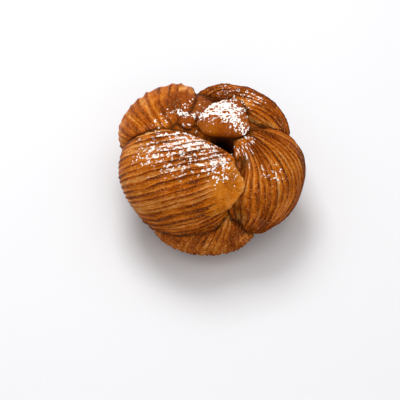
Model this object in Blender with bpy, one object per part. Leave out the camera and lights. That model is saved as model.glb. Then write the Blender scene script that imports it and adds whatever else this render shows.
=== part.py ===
"""A knotted cruffin: one piece of laminated dough, tied so that its ropes show their layers.

The ropes lie over a low dome, the crown. Each rope is a UV sphere whose poles are the rope's two
ends. Its rings are laid along a path over the crown and its layers are ridges that run with it.
The ropes are joined with the soft core under them, and the foot is cut flat where it was baked.

Lengths are millimetres here and become metres when a mesh is made. Directions on the crown are
(azimuth, elevation) in degrees: azimuth 0 is +X and 270 the front, elevation 90 is straight up.
Radii are shares of the crown's own radius in the same direction.
"""

import math
from dataclasses import dataclass

import bmesh
import bpy
import numpy as np
from mathutils import Matrix

NODE = "cruffin"
MM = 0.001

# The crown: an ellipse above the waist and a squarer one below, where the dough met the tray.
CROWN_CENTRE = (0.12, 1.75)
CROWN_HALF_WIDTH = 54.0
CROWN_HALF_DEPTH = 52.0
CROWN_RISE = 35.0
WAIST_HEIGHT = 30.0
FOOT_DROP = 36.0
FOOT_SQUARENESS = 3.6

# The soft core: it shows in the valley between the ropes, and fluted at the foot. The pit is at
# the heart of the knot.
CORE_SHARE = 0.87
CORE_RINGS = 26
FLUTES = 36
FLUTE_DEPTH = 0.022
FLUTE_TOP = 0.35
SHALLOWEST_FLUTE = 0.5
PIT = (308, 74)
PIT_WIDTH = 10.0
PIT_DEPTH = 0.62

# The ropes' sampling: each layer gets the same number of sides, so that every ridge is whole.
SIDES_PER_LAYER = 3
SMOOTH_SIDES = 16
INNER_SIDES = 6
RINGS = 20
END_SQUARENESS = 3.0
END_DIVE = 0.12
SECTION_STEPS = 200  # how finely a rope's section is walked to space its layers
SLOPE_STEP = 1e-3  # share of a rope between two points that give its slope

# How a layer stands out: a round back between two sharp cuts.
LAYER_CREST_POWER = 2.2
LAYER_MEAN = 0.6
LAYER_UNEVEN = 0.3
LAYER_SWAY = 0.25
LAYER_SWAYS = 7.0  # how fast a layer's depth rises and falls along it, in radians a rope
EDGE_FADE = 24.0

# Meshes, cutting and finish.
TINY = 1e-12
WELD = 0.01
CUTTER_SIZE = 200.0
SHARP_ANGLE = 40.0
CRUST_COLOUR = (0.40, 0.16, 0.04, 1.0)
CRUST_ROUGHNESS = 0.5


@dataclass(frozen=True)
class Rope:
    """A length of rolled dough that shows between the two places where it dives under others."""

    name: str
    start: tuple
    crest: tuple
    end: tuple
    right: tuple  # half-width at start, crest and end on the path's right, degrees over the crown
    left: tuple  # the same on its left
    reach: tuple  # outermost radius at start, crest and end
    belly: float  # radius of the widest point of the section
    root: float  # innermost radius
    squareness: float
    layers: int  # 0 for a smooth skin
    layer_depth: float
    fade: tuple  # how much of the rope, at start and end, its layers take to come up
    seed: int


ROPES = (
    Rope(
        "front", (218, -34), (239, 31), (306, 47), (34, 46, 40), (54, 57, 24), (1.03, 1.06, 0.97),
        0.8, 0.5, 2.8, 19, 1.5, (0.1, 0.25), 11,
    ),
    Rope(
        "right", (6, 67), (332, 16), (294, -30), (20, 54, 34), (18, 44, 38), (0.96, 1.03, 1.0),
        0.8, 0.5, 2.5, 22, 1.3, (0.2, 0.15), 23,
    ),
    Rope(
        "back_right", (108, 48), (55, 28), (10, 6), (22, 40, 30), (22, 40, 30), (0.9, 1.0, 0.94),
        0.8, 0.45, 2.5, 20, 1.2, (0.2, 0.15), 37,
    ),
    Rope(
        "back_left", (176, 68), (141, 28), (138, -44), (20, 35, 34), (20, 35, 34), (0.9, 1.1, 0.98),
        0.8, 0.45, 2.5, 18, 1.25, (0.25, 0.15), 41,
    ),
    Rope(
        "foot", (292, 44), (264, -12), (260, -60), (20, 40, 34), (20, 42, 39), (0.86, 1.0, 1.02),
        0.7, 0.4, 2.5, 20, 0.8, (0.15, 0.15), 53,
    ),
    Rope(
        "tongue", (163, 78), (48, 81), (12, 60), (9, 12, 12), (2, 20, 34), (0.93, 0.99, 0.96),
        0.88, 0.72, 2.4, 0, 0.0, (0.2, 0.2), 61,
    ),
    Rope(
        "knob", (176, 67), (160, 73), (148, 79), (4, 6, 4), (4, 6, 4), (0.88, 0.95, 0.88),
        0.86, 0.8, 2.2, 0, 0.0, (0.2, 0.2), 67,
    ),
)


def direction(angles):
    """Unit vector for an (azimuth, elevation) pair in degrees."""
    azimuth, elevation = (math.radians(a) for a in angles)
    level = math.cos(elevation)
    return np.array([level * math.cos(azimuth), level * math.sin(azimuth), math.sin(elevation)])


def through(values, t):
    """Value at t of the parabola that passes the three values at 0, 0.5 and 1."""
    first, middle, last = (np.asarray(v, float) for v in values)
    t = t.reshape(t.shape + (1,) * first.ndim)
    return first * (2 * (t - 0.5) * (t - 1)) + middle * (4 * t * (1 - t)) + last * (2 * t * (t - 0.5))


def unit(vectors):
    """The vectors scaled to length 1, a zero vector left as it is."""
    return vectors / np.maximum(np.linalg.norm(vectors, axis=-1, keepdims=True), TINY)


def signed_power(values, power):
    """The values' sizes raised to a power, with their signs kept."""
    return np.sign(values) * np.abs(values) ** power


def on_crown(ways, share):
    """Points at a share of the crown's radius along unit directions."""
    level = np.hypot(ways[..., 0], ways[..., 1])
    rise = np.abs(ways[..., 2])
    below = ways[..., 2] < 0
    power = np.where(below, FOOT_SQUARENESS, 2.0)
    radius = (level**power + rise**power) ** (-1 / power) * share
    height = np.where(below, FOOT_DROP, CROWN_RISE)
    return np.stack(
        [
            CROWN_CENTRE[0] + CROWN_HALF_WIDTH * ways[..., 0] * radius,
            CROWN_CENTRE[1] + CROWN_HALF_DEPTH * ways[..., 1] * radius,
            WAIST_HEIGHT + height * ways[..., 2] * radius,
        ],
        axis=-1,
    )


def rope_path(rope, along):
    """Unit directions of the rope's middle line."""
    return unit(through([direction(a) for a in (rope.start, rope.crest, rope.end)], along))


def rope_form(rope, around, along):
    """Points of the rope without its layers.

    around runs from 0 to pi over the outside and on to 2 pi over the inside, and along from 0 at
    one pole to 1 at the other.
    """
    path = rope_path(rope, along)
    side = unit(np.cross(rope_path(rope, along + SLOPE_STEP) - path, path))
    taper = np.maximum(1 - np.abs(2 * along - 1) ** END_SQUARENESS, 0) ** (1 / END_SQUARENESS)
    power = 2 / rope.squareness
    width = signed_power(np.cos(around), power)
    depth = signed_power(np.sin(around), power)
    half = np.where(width > 0, through(rope.right, along), through(rope.left, along))
    angle = np.radians(half) * taper * width
    lift = np.where(depth > 0, through(rope.reach, along) - rope.belly, rope.belly - rope.root)
    share = rope.belly + lift * taper * depth - END_DIVE * (1 - taper)
    ways = path * np.cos(angle)[..., None] + side * np.sin(angle)[..., None]
    return on_crown(ways, share)


def layer_edges(rope):
    """Where one layer ends and the next begins, from 0 to 1 across the rope: layers are uneven."""
    rng = np.random.default_rng(rope.seed)
    widths = rng.uniform(1 - LAYER_UNEVEN, 1 + LAYER_UNEVEN, rope.layers)
    return np.concatenate([[0.0], np.cumsum(widths) / widths.sum()])


def evenly_around(rope, across):
    """The around angle that lies a share of the way across the outside, measured on its surface."""
    around = np.linspace(0, math.pi, SECTION_STEPS)
    section = rope_form(rope, around, np.full_like(around, 0.5))
    steps = np.linalg.norm(np.diff(section, axis=0), axis=1)
    walked = np.concatenate([[0.0], np.cumsum(steps)])
    return np.interp(across * walked[-1], walked, around)


def layer_relief(rope, across, along):
    """Height of the layers over the rope's form. across is 0 to 1 with all layers of one width."""
    rng = np.random.default_rng(rope.seed + 1)
    depth = rope.layer_depth * rng.uniform(1 - LAYER_UNEVEN, 1 + LAYER_UNEVEN, rope.layers)
    phase = rng.uniform(0, 2 * math.pi, rope.layers)
    place = across * rope.layers
    middles = np.arange(rope.layers) + 0.5
    back = 1 - np.abs(2 * (place % 1) - 1) ** LAYER_CREST_POWER
    sway = 1 + LAYER_SWAY * np.sin(LAYER_SWAYS * along + np.interp(place, middles, phase))
    ends = np.clip(along / rope.fade[0], 0, 1) * np.clip((1 - along) / rope.fade[1], 0, 1)
    edges = np.clip(np.minimum(across, 1 - across) * EDGE_FADE, 0, 1)
    return np.interp(place, middles, depth) * sway * ends * edges * (back - LAYER_MEAN)


def rope_surface(rope, around, along):
    """Points of the rope with its layers standing out along the normals of its form."""
    if not rope.layers:
        return rope_form(rope, around, along)
    outside = around < math.pi
    across = np.where(outside, around / math.pi, 0.0)
    uneven = np.interp(across * rope.layers, np.arange(rope.layers + 1), layer_edges(rope))
    around = np.where(outside, evenly_around(rope, uneven), around)
    step = SLOPE_STEP
    inner = np.clip(along, step, 1 - step)
    over = rope_form(rope, around + step, along) - rope_form(rope, around - step, along)
    on = rope_form(rope, around, inner + step) - rope_form(rope, around, inner - step)
    relief = np.where(outside, layer_relief(rope, across, along), 0.0)
    return rope_form(rope, around, along) + unit(np.cross(over, on)) * relief[..., None]


def core_surface(turn, along):
    """Points of the core: a smaller crown, fluted low down, with a pit sunk into it."""
    azimuth, rise = turn * 2 * math.pi, 1 - 2 * along
    level = np.sqrt(np.maximum(1 - rise**2, 0))
    ways = np.stack([level * np.cos(azimuth), level * np.sin(azimuth), rise], axis=-1)
    off = np.degrees(np.arccos(np.clip(ways @ direction(PIT), -1, 1)))
    pit = PIT_DEPTH * np.exp(-((off / PIT_WIDTH) ** 2))
    depths = np.random.default_rng(FLUTES).uniform(SHALLOWEST_FLUTE, 1.0, FLUTES)
    place = np.round(turn * 2 * FLUTES).astype(int)
    cut = np.where(place % 2, 0.0, depths[place // 2 % FLUTES])
    flutes = FLUTE_DEPTH * cut * np.clip((FLUTE_TOP - rise) / FLUTE_TOP, 0, 1)
    return on_crown(ways, CORE_SHARE + FLUTE_DEPTH / 2 - pit - flutes)


def clear_scene():
    """Start from nothing."""
    for obj in list(bpy.data.objects):
        bpy.data.objects.remove(obj, do_unlink=True)


def moulded_sphere(name, sides, rings, shape, collection):
    """A UV sphere moved to shape(turn, along), with turn and along from 0 to 1."""
    mesh = bpy.data.meshes.new(name)
    bm = bmesh.new()
    bmesh.ops.create_uvsphere(bm, u_segments=sides, v_segments=rings, radius=1.0)
    ball = np.array([vert.co for vert in bm.verts])
    turn = np.round(np.arctan2(-ball[:, 0], ball[:, 1]) / (2 * math.pi) * sides) % sides / sides
    along = (1 - ball[:, 2]) / 2
    for vert, place in zip(bm.verts, shape(turn, along)):
        vert.co = place * MM
    bmesh.ops.recalc_face_normals(bm, faces=bm.faces)
    bm.to_mesh(mesh)
    bm.free()
    obj = bpy.data.objects.new(name, mesh)
    collection.objects.link(obj)
    return obj


def make_rope(rope, collection):
    """One rope, its outside sampled finely and its hidden inside coarsely."""
    outer = rope.layers * SIDES_PER_LAYER or SMOOTH_SIDES
    sides = outer + INNER_SIDES
    seam = outer / sides

    def shape(turn, along):
        outside = turn <= seam
        share = np.where(outside, turn / seam, 1 + (turn - seam) / (1 - seam))
        return rope_surface(rope, share * math.pi, along)

    return moulded_sphere(rope.name, sides, RINGS, shape, collection)


def join(target, collection):
    """Unite the collection's objects with the target and remove them."""
    union = target.modifiers.new("union", "BOOLEAN")
    union.operation = "UNION"
    union.operand_type = "COLLECTION"
    union.collection = collection
    union.solver = "EXACT"
    bake(target)
    for obj in list(collection.objects):
        bpy.data.objects.remove(obj, do_unlink=True)
    bpy.data.collections.remove(collection)


def bake(obj):
    """Apply the object's modifiers to its mesh."""
    bpy.context.view_layer.update()
    graph = bpy.context.evaluated_depsgraph_get()
    mesh = bpy.data.meshes.new_from_object(obj.evaluated_get(graph))
    obj.modifiers.clear()
    old = obj.data
    obj.data = mesh
    bpy.data.meshes.remove(old)


def cut_foot(obj, cutters):
    """Cut the foot flat at the height of the tray."""
    bpy.ops.mesh.primitive_cube_add(size=CUTTER_SIZE * MM, location=(0, 0, -CUTTER_SIZE / 2 * MM))
    cutter = bpy.context.object
    cutter.name = "tray_cutter"
    cutter.display_type = "WIRE"
    cutter.hide_render = True
    for collection in list(cutter.users_collection):
        collection.objects.unlink(cutter)
    cutters.objects.link(cutter)
    cut = obj.modifiers.new("foot", "BOOLEAN")
    cut.operation = "DIFFERENCE"
    cut.object = cutter
    cut.solver = "EXACT"
    bake(obj)
    bpy.data.objects.remove(cutter, do_unlink=True)


def tidy(obj):
    """Weld and triangulate the skin, and drop what the union leaves loose inside it."""
    bm = bmesh.new()
    bm.from_mesh(obj.data)
    bmesh.ops.remove_doubles(bm, verts=bm.verts, dist=WELD * MM)
    bmesh.ops.triangulate(bm, faces=bm.faces)
    bmesh.ops.dissolve_degenerate(bm, edges=bm.edges, dist=WELD * MM)
    bmesh.ops.triangulate(bm, faces=bm.faces)
    turn_shared_diagonals(bm)
    for shell in shells_of(bm)[1:]:
        bmesh.ops.delete(bm, geom=shell, context="VERTS")
    bm.to_mesh(obj.data)
    bm.free()


def turn_shared_diagonals(bm):
    """Where two pairs of triangles use one diagonal, turn the diagonal of the first pair."""
    for edge in [edge for edge in bm.edges if len(edge.link_faces) > 2]:
        one = edge.link_loops[0]
        others = [loop for loop in edge.link_loops if loop.vert is not one.vert]
        two = max(others, key=lambda loop: loop.face.normal.dot(one.face.normal))
        start, end = one.vert, two.vert
        tip, tail = one.link_loop_prev.vert, two.link_loop_prev.vert
        bmesh.ops.delete(bm, geom=[one.face, two.face], context="FACES_ONLY")
        bm.faces.new((start, tail, tip))
        bm.faces.new((tail, end, tip))


def shells_of(bm):
    """The mesh's connected shells as lists of vertices, the largest first."""
    shells = []
    left = set(bm.verts)
    while left:
        shell = []
        todo = [left.pop()]
        while todo:
            vert = todo.pop()
            shell.append(vert)
            for edge in vert.link_edges:
                other = edge.other_vert(vert)
                if other in left:
                    left.remove(other)
                    todo.append(other)
        shells.append(shell)
    return sorted(shells, key=len, reverse=True)


def stand_at_origin(obj):
    """Move the mesh so that the middle of its foot is the origin."""
    corners = np.array([vert.co for vert in obj.data.vertices])
    middle = (corners.min(axis=0) + corners.max(axis=0)) / 2
    obj.data.transform(Matrix.Translation((-middle[0], -middle[1], -corners[:, 2].min())))


def brown(obj):
    """Dress the cruffin in browned crust, with its cuts between layers left sharp."""
    crust = bpy.data.materials.new("browned_crust")
    crust.use_nodes = True
    shader = crust.node_tree.nodes["Principled BSDF"]
    shader.inputs["Base Color"].default_value = CRUST_COLOUR
    shader.inputs["Roughness"].default_value = CRUST_ROUGHNESS
    obj.data.materials.append(crust)
    obj.data.shade_smooth()
    obj.data.set_sharp_from_angle(angle=math.radians(SHARP_ANGLE))


def main():
    """Build the cruffin."""
    clear_scene()
    scene = bpy.context.scene
    parts = bpy.data.collections.new(NODE)
    ropes = bpy.data.collections.new("ropes")
    cutters = bpy.data.collections.new("cutters")
    for collection in (parts, ropes, cutters):
        scene.collection.children.link(collection)
    for rope in ROPES:
        make_rope(rope, ropes)
    cruffin = moulded_sphere(NODE, 2 * FLUTES, CORE_RINGS, core_surface, parts)
    join(cruffin, ropes)
    cut_foot(cruffin, cutters)
    tidy(cruffin)
    stand_at_origin(cruffin)
    brown(cruffin)


main()
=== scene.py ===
"""Looks of the knotted cruffin: laminated ropes of browned dough, tied over a soft core.

The ropes lie over a low dome, the crown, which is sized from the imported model's box. Each rope is
a closed skin laid along a path over the crown, with its layers standing out as ridges. One thin
torn sheet stands off the front, and sugar is strewn over the ridges' backs.

Lengths are millimetres here and become metres when a mesh is made. Directions on the crown are
(azimuth, elevation) in degrees: azimuth 0 is +X and 270 the front, elevation 90 is straight up.
Radii are shares of the crown's own radius in the same direction. A bare number that is added to a
noise's coordinates only sets one noise apart from another.
"""

import itertools
import logging
import math
from dataclasses import dataclass
from enum import Enum

import bpy
import numpy as np
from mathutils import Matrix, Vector
from mathutils.bvhtree import BVHTree

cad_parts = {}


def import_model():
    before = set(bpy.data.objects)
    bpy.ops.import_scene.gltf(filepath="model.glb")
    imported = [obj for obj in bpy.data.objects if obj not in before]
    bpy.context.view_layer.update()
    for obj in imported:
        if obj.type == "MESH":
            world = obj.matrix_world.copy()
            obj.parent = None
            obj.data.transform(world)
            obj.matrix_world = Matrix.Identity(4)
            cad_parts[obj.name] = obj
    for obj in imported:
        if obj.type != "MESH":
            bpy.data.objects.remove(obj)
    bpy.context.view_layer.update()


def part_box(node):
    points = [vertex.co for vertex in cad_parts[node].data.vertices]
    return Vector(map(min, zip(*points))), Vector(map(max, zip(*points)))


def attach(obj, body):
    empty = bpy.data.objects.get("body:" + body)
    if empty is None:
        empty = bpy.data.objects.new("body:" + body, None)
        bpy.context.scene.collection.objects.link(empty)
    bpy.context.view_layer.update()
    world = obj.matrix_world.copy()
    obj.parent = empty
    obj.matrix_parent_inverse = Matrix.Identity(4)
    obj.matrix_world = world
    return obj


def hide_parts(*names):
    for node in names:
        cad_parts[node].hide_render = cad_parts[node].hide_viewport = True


LOG = logging.getLogger("cruffin")

NODE = "cruffin"
BODY = "root"
MM = 0.001
UV_NAME = "layers"

# The crown in its box, as shares of the box's width, depth and height.
MIDDLE_SHIFT = (-0.0011, 0.018)
HALF_WIDTH, HALF_DEPTH = 0.496, 0.5064
RISE, WAIST, DROP = 0.544, 0.4663, 0.5595

# How much higher each rope's flat foot stands than the last one's, so that no two share a plane.
FOOT_STEP = 0.03

Pair = tuple[float, float]
Angles = tuple[float, float]  # azimuth and elevation
Triple = tuple[float, float, float]
Colour = tuple[float, float, float, float]


class Skin(Enum):
    """What the outside of a rope shows."""

    LAYERED = "layered"
    SMOOTH = "smooth"


def srgb(red: int, green: int, blue: int) -> Colour:
    """Linear colour of a screen colour.

    Args:
        red: 0 to 255.
        green: 0 to 255.
        blue: 0 to 255.

    Returns:
        Linear RGBA for a shader's socket.
    """
    linear = [
        c / 12.92 if c <= 0.04045 else ((c + 0.055) / 1.055) ** 2.4
        for c in (red / 255, green / 255, blue / 255)
    ]
    return (*linear, 1.0)


def direction(angles: Angles) -> np.ndarray:
    """Unit vector of a direction.

    Args:
        angles: azimuth and elevation in degrees.

    Returns:
        The vector.
    """
    azimuth, elevation = (math.radians(a) for a in angles)
    level = math.cos(elevation)
    return np.array([level * math.cos(azimuth), level * math.sin(azimuth), math.sin(elevation)])


def through(values: tuple, t: np.ndarray) -> np.ndarray:
    """Value at t of the parabola that passes three values.

    Args:
        values: the numbers or vectors at 0, 0.5 and 1.
        t: where to read it.

    Returns:
        One number or vector for each t.
    """
    first, middle, last = (np.asarray(v, float) for v in values)
    t = t.reshape(t.shape + (1,) * first.ndim)
    begin, between, finish = 2 * (t - 0.5) * (t - 1), 4 * t * (1 - t), 2 * t * (t - 0.5)
    return first * begin + middle * between + last * finish


def unit(vectors: np.ndarray) -> np.ndarray:
    """The vectors scaled to length 1, a zero vector left as it is."""
    return vectors / np.maximum(np.linalg.norm(vectors, axis=-1, keepdims=True), 1e-12)


def signed_power(values: np.ndarray, power: float) -> np.ndarray:
    """The values' sizes raised to a power, with their signs kept."""
    return np.sign(values) * np.abs(values) ** power


def smooth_step(low: float, high: float, values: np.ndarray) -> np.ndarray:
    """0 below low, 1 above high and a smooth rise between."""
    t = np.clip((values - low) / (high - low), 0, 1)
    return t * t * (3 - 2 * t)


def write_values(mesh: bpy.types.Mesh, name: str, values: np.ndarray) -> None:
    """Write one named number for each of a mesh's points."""
    mesh.attributes.new(name, "FLOAT", "POINT").data.foreach_set("value", values)


class ValueNoise:
    """Smooth noise between random values on a lattice, the same on every run."""

    TABLE = 4096
    OCTAVE_SHIFT = 31.7

    def __init__(self, seed: int) -> None:
        """Draw the table of values.

        Args:
            seed: which noise this is.
        """
        rng = np.random.default_rng(seed)
        self._order = rng.permutation(self.TABLE)
        self._values = rng.uniform(-1, 1, self.TABLE)

    def at(self, *axes: np.ndarray) -> np.ndarray:
        """Read the noise.

        Args:
            *axes: one to three arrays of coordinates, in lattice steps.

        Returns:
            Values from -1 to 1.
        """
        axes = np.broadcast_arrays(*axes)
        corners = [np.floor(a).astype(int) for a in axes]
        parts = [a - c for a, c in zip(axes, corners)]
        blends = [p * p * (3 - 2 * p) for p in parts]
        total = np.zeros(axes[0].shape)
        for bits in itertools.product((0, 1), repeat=len(axes)):
            index = np.zeros(axes[0].shape, int)
            weight = np.ones(axes[0].shape)
            for corner, blend, bit in zip(corners, blends, bits):
                index = self._order[(index + corner + bit) % self.TABLE]
                weight = weight * (blend if bit else 1 - blend)
            total += weight * self._values[index]
        return total

    def over(self, points: np.ndarray, size: float, octaves: int = 1) -> np.ndarray:
        """Read the noise over points in space.

        Args:
            points: places in mm.
            size: a lump's size in mm.
            octaves: how many noises of halved size and strength are summed.

        Returns:
            Values from about -1 to 1.
        """
        total = np.zeros(points.shape[:-1])
        for octave in range(octaves):
            scaled = points / size * 2**octave + self.OCTAVE_SHIFT * octave
            total += self.at(*np.moveaxis(scaled, -1, 0)) / 2**octave
        return total


@dataclass(frozen=True)
class Crown:
    """The dome that the ropes lie over: an ellipse above the waist and a squarer one below."""

    centre: Pair  # x and y of its middle
    half_width: float
    half_depth: float
    rise: float
    waist: float
    drop: float
    squareness: float = 3.6
    waist_fade: float = 1.3  # height where it is fully above the waist, in waists

    @classmethod
    def inside(cls, low: Triple, high: Triple) -> "Crown":
        """The crown of a cruffin that fills a box.

        Args:
            low: the box's lowest corner in metres.
            high: its highest corner.

        Returns:
            The crown, in mm.
        """
        width, depth, height = ((h - l) / MM for l, h in zip(low, high))
        middle = [(h + l) / 2 / MM for l, h in zip(low, high)]
        return cls(
            centre=(middle[0] + MIDDLE_SHIFT[0] * width, middle[1] + MIDDLE_SHIFT[1] * depth),
            half_width=HALF_WIDTH * width,
            half_depth=HALF_DEPTH * depth,
            rise=RISE * height,
            waist=WAIST * height,
            drop=DROP * height,
        )

    def place(self, ways: np.ndarray, share: np.ndarray) -> np.ndarray:
        """Points at a share of the crown's radius along unit directions.

        Args:
            ways: unit vectors.
            share: radius of each as a share of the crown's.

        Returns:
            Places in mm.
        """
        level = np.hypot(ways[..., 0], ways[..., 1])
        rise = np.abs(ways[..., 2])
        below = ways[..., 2] < 0
        power = np.where(below, self.squareness, 2.0)
        radius = (level**power + rise**power) ** (-1 / power) * share
        height = np.where(below, self.drop, self.rise)
        return np.stack(
            [
                self.centre[0] + self.half_width * ways[..., 0] * radius,
                self.centre[1] + self.half_depth * ways[..., 1] * radius,
                self.waist + height * ways[..., 2] * radius,
            ],
            axis=-1,
        )

    def scaled(self, points: np.ndarray) -> np.ndarray:
        """Places in mm as shares of the crown's radii from its middle."""
        middle = np.array([*self.centre, self.waist])
        return (points - middle) / np.array([self.half_width, self.half_depth, self.rise])

    def ways(self, points: np.ndarray) -> np.ndarray:
        """Unit directions of places in mm, above the waist."""
        return unit(self.scaled(points))

    def above(self, points: np.ndarray) -> np.ndarray:
        """0 for places in mm at the waist or under it to 1 for those well above it."""
        return smooth_step(self.waist, self.waist * self.waist_fade, points[..., 2])

    def stand(self, points: np.ndarray, base: float, softness: float = 0.5) -> np.ndarray:
        """The points with those under the base pressed up to it.

        Args:
            points: places in mm.
            base: height of the flat foot.
            softness: how round the foot's edge is.

        Returns:
            The places, none of them under the base.
        """
        over = points[..., 2] - base
        flat = points.copy()
        flat[..., 2] = base + (over + np.sqrt(over**2 + softness**2)) / 2 - softness / 2 * np.exp(
            -np.maximum(over, 0) / softness
        )
        flat[..., 2] = np.maximum(flat[..., 2], base)
        return flat


@dataclass
class Surface:
    """A closed grid of points between two poles, with what its finish needs to know.

    The grid's rows are rings from the first pole to the second, and its columns go round.
    """

    points: np.ndarray
    crest: np.ndarray  # 0 in a cut between layers to 1 on a layer's back
    tone: np.ndarray  # -1 for darkly baked to 1 for pale
    smooth: np.ndarray  # 0 for cut layers to 1 for smooth skin
    weft: np.ndarray  # (across, along) in mm

    def mesh(self, name: str) -> bpy.types.Mesh:
        """Make the mesh with its attributes and its UV map.

        Args:
            name: the mesh's name.

        Returns:
            A closed mesh in metres.
        """
        rings, sides = self.points.shape[:2]
        inner = slice(1, rings - 1)
        flat = np.concatenate([self.points[inner].reshape(-1, 3), self.points[(0, -1), 0]])
        grid = np.arange((rings - 2) * sides).reshape(rings - 2, sides)
        beside = np.roll(grid, -1, axis=1)
        quads = np.stack([grid[:-1], beside[:-1], beside[1:], grid[1:]], axis=-1).reshape(-1, 4)
        first, last = len(flat) - 2, len(flat) - 1
        faces = quads.tolist()
        faces += [(first, b, a) for a, b in zip(grid[0].tolist(), beside[0].tolist())]
        faces += [(last, a, b) for a, b in zip(grid[-1].tolist(), beside[-1].tolist())]
        mesh = bpy.data.meshes.new(name)
        mesh.from_pydata((flat * MM).tolist(), [], faces)
        for key in ("crest", "tone", "smooth"):
            values = getattr(self, key)
            column = np.concatenate([values[inner].ravel(), values[(0, -1), 0]])
            write_values(mesh, key, column)
        weft = np.concatenate([self.weft[inner].reshape(-1, 2), self.weft[(0, -1), 0]])
        corners = np.empty(len(mesh.loops), int)
        mesh.loops.foreach_get("vertex_index", corners)
        mesh.uv_layers.new(name=UV_NAME).data.foreach_set("uv", weft[corners].ravel())
        mesh.shade_smooth()
        return mesh

    def piece(self, name: str) -> bpy.types.Object:
        """Make the piece, with its faces turned outwards.

        Args:
            name: the piece's name.

        Returns:
            The piece, in the scene.
        """
        mesh = self.mesh(name)
        outward(mesh)
        return linked(mesh)


def outward(mesh: bpy.types.Mesh) -> None:
    """Turn a closed mesh's faces outwards where they point in.

    Args:
        mesh: the mesh, all of whose faces point one way.
    """
    corners = np.array([vert.co for vert in mesh.vertices])
    mesh.calc_loop_triangles()
    triangles = np.array([tri.vertices for tri in mesh.loop_triangles])
    a, b, c = (corners[triangles[:, i]] for i in range(3))
    if np.einsum("ij,ij->i", a, np.cross(b, c)).sum() < 0:
        mesh.flip_normals()


@dataclass(frozen=True)
class Comb:
    """Layers that lie where planes through one axis cut the crown, as pages round a spine."""

    first: Angles  # two directions that the axis passes
    last: Angles
    start: float  # turn of the first layer about the axis, in degrees
    pitch: float  # turn from one layer to the next

    def place(self, ways: np.ndarray) -> np.ndarray:
        """Which layer lies in each direction.

        Args:
            ways: unit vectors.

        Returns:
            The layers' numbers, with the place across the layer as the fraction.
        """
        one, two = direction(self.first), direction(self.last)
        axis = unit(two - one)
        middle = (one + two) / 2
        ahead = unit(middle - axis * (middle @ axis))
        beside = np.cross(axis, ahead)
        turn = np.degrees(np.arctan2((ways - middle) @ beside, (ways - middle) @ ahead)) % 360
        return (turn - self.start) / self.pitch


@dataclass(frozen=True)
class RopePlan:
    """Where one rope of dough lies and how it is layered."""

    name: str
    start: Angles
    crest: Angles
    end: Angles
    right: Triple  # half-width at start, crest and end on the path's right, degrees over the crown
    left: Triple  # the same on its left
    reach: Triple  # outermost radius at start, crest and end
    belly: float  # radius of the widest point of the section
    root: float  # innermost radius
    squareness: float
    layers: int  # 0 for a smooth skin
    depth: float  # of the cuts between layers, in mm
    fade: Pair  # how much of the rope its layers take to come up and go down
    seed: int
    tone: float = 0.0  # -1 for darkly baked to 1 for pale
    comb: Comb | None = None  # how its layers lie, where they don't run along its path
    pebbles: float = 0.15  # height of the rough lumps low on the foot, in mm
    lean: float = 0.72  # under 1 puts a layer's crest nearer the path's right
    calm: float = 1.0  # share of the relief that is left at the sides
    softest: float = 0.0  # crest that its cuts never go under
    sheet_depth: float = 0.34  # of the fine lines between a layer's sheets, in mm
    bald: Angles | None = None  # middle of a stretch of smooth skin
    bald_size: float = 12.0  # its radius in degrees over the crown
    bald_tone: float = 0.7  # how much paler its skin is, or darker under 0

    @property
    def skin(self) -> Skin:
        """What its outside shows."""
        return Skin.LAYERED if self.layers else Skin.SMOOTH


ROPES = (
    RopePlan(
        "front", (218, -34), (239, 31), (306, 47), (34, 46, 40), (54, 57, 24), (1.03, 1.06, 0.97),
        0.8, 0.5, 2.8, 19, 1.55, (0.08, 0.12), 11, tone=-0.1, lean=0.5,
        comb=Comb((51, -58), (28, -33), 217, -2.1), calm=0.35, sheet_depth=0.14,
        bald=(287, 42), bald_size=14.0,
    ),
    RopePlan(
        "right", (6, 67), (332, 16), (294, -30), (20, 54, 34), (18, 44, 38), (0.96, 1.03, 1.0),
        0.8, 0.5, 2.5, 22, 2.1, (0.12, 0.12), 23, tone=0.2, sheet_depth=0.2, softest=0.08, calm=0.4,
    ),
    RopePlan(
        "back_right", (108, 48), (55, 28), (10, 6), (22, 40, 30), (22, 40, 30), (0.9, 1.0, 0.94),
        0.8, 0.45, 2.5, 20, 1.5, (0.15, 0.12), 37, tone=0.4, sheet_depth=0.2,
    ),
    RopePlan(
        "back_left", (176, 68), (141, 28), (138, -44), (20, 35, 34), (20, 35, 34), (0.9, 1.1, 0.98),
        0.8, 0.45, 2.5, 18, 1.6, (0.2, 0.12), 41, tone=-0.1, calm=0.5, softest=0.4,
        comb=Comb((277, 8), (286, -20), 142, 3.45), sheet_depth=0.12,
        bald=(122, 60), bald_size=13.0, bald_tone=-1.4,
    ),
    RopePlan(
        "foot", (292, 44), (264, -12), (260, -60), (20, 40, 34), (20, 42, 39), (0.86, 1.0, 1.02),
        0.7, 0.4, 2.5, 26, 0.5, (0.15, 0.1), 53, pebbles=0.62, sheet_depth=0.2,
        calm=0.4, softest=0.35,
    ),
    RopePlan(
        "tongue", (163, 78), (48, 81), (12, 60), (9, 12, 12), (2, 20, 34), (0.93, 0.99, 0.96),
        0.88, 0.72, 2.4, 0, 0.0, (0.2, 0.2), 61, tone=-0.9,
    ),
    RopePlan(
        "knob", (176, 67), (160, 73), (148, 79), (4, 6, 4), (7, 10, 8), (0.88, 0.95, 0.9),
        0.86, 0.8, 2.2, 0, 0.0, (0.2, 0.2), 67, tone=-1.5,
    ),
)


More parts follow.
